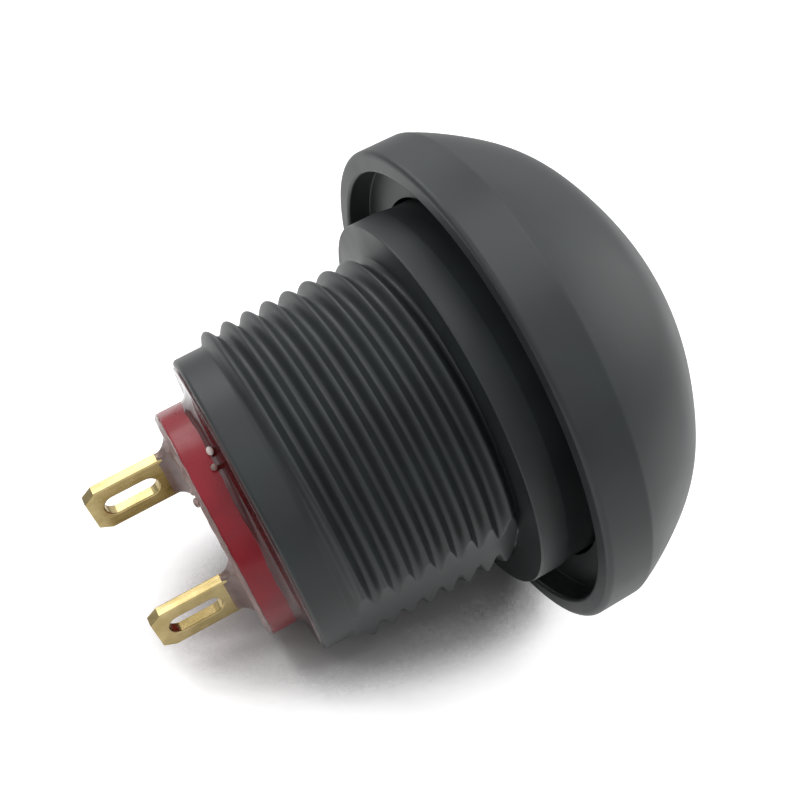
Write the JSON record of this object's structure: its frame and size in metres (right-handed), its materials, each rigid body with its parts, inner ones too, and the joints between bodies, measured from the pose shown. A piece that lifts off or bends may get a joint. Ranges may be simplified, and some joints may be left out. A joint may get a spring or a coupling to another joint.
{
  "type": "pushbutton switch",
  "caption": "Sealed momentary panel pushbutton switch with a large dome cap, a threaded bushing with a keying flat, a round base and slotted solder terminals.",
  "frame": {"origin": "on the button's axis in the panel seat, the rear face of the bushing's flange", "axes": "+Z along the axis out of the panel to the dome, +Y from the upper terminal to the lower one, +X square to both; the keying flat faces 27 degrees from +Y towards +X"},
  "size_m": [0.0181, 0.018, 0.0208],
  "materials": {
    "cap_nylon": "satin moulded black",
    "bushing_nylon": "satin moulded black",
    "plunger_acetal": "smooth natural white",
    "seal_rubber": "greased",
    "contact_brass": "plain strip",
    "contact_silver": "headed silver",
    "spring_steel": "drawn wire",
    "gold_plate": "gold flash over brass",
    "base_red": "glossy moulded red",
    "sealing_resin": "clear amber resin over red"
  },
  "bodies": {
    "housing": {"bushing": "bushing_nylon", "base": "base_red", "terminal_upper": "gold_plate", "terminal_lower": "gold_plate", "fixed_tip_upper": "contact_silver", "fixed_tip_lower": "contact_silver", "resin_ring": "sealing_resin", "resin_foot_upper": "sealing_resin", "resin_foot_lower": "sealing_resin", "return_spring": "spring_steel"},
    "button": {"dome_cap": "cap_nylon", "plunger": "plunger_acetal", "plunger_o_ring": "seal_rubber", "retaining_clip": "spring_steel", "contact_spring": "spring_steel"},
    "moving_contact": {"contact_disc": "contact_brass", "disc_tip_upper": "contact_silver", "disc_tip_lower": "contact_silver"}
  },
  "joints": [
    {"name": "button_press", "type": "slide", "parent": "housing", "child": "button", "axis": [0, 0, -1], "range_m": [0, 0.001], "stiffness_N_per_m": 2000, "springref_m": -0.0006, "deforming": ["return_spring"]},
    {"name": "contact_close", "type": "slide", "parent": "housing", "child": "moving_contact", "axis": [0, 0, -1], "range_m": [0, 0.00068], "deforming": ["contact_spring"]}
  ],
  "couplings": [
    {"joint": "contact_close", "follows": "button_press", "ratio": 0.68}
  ]
}
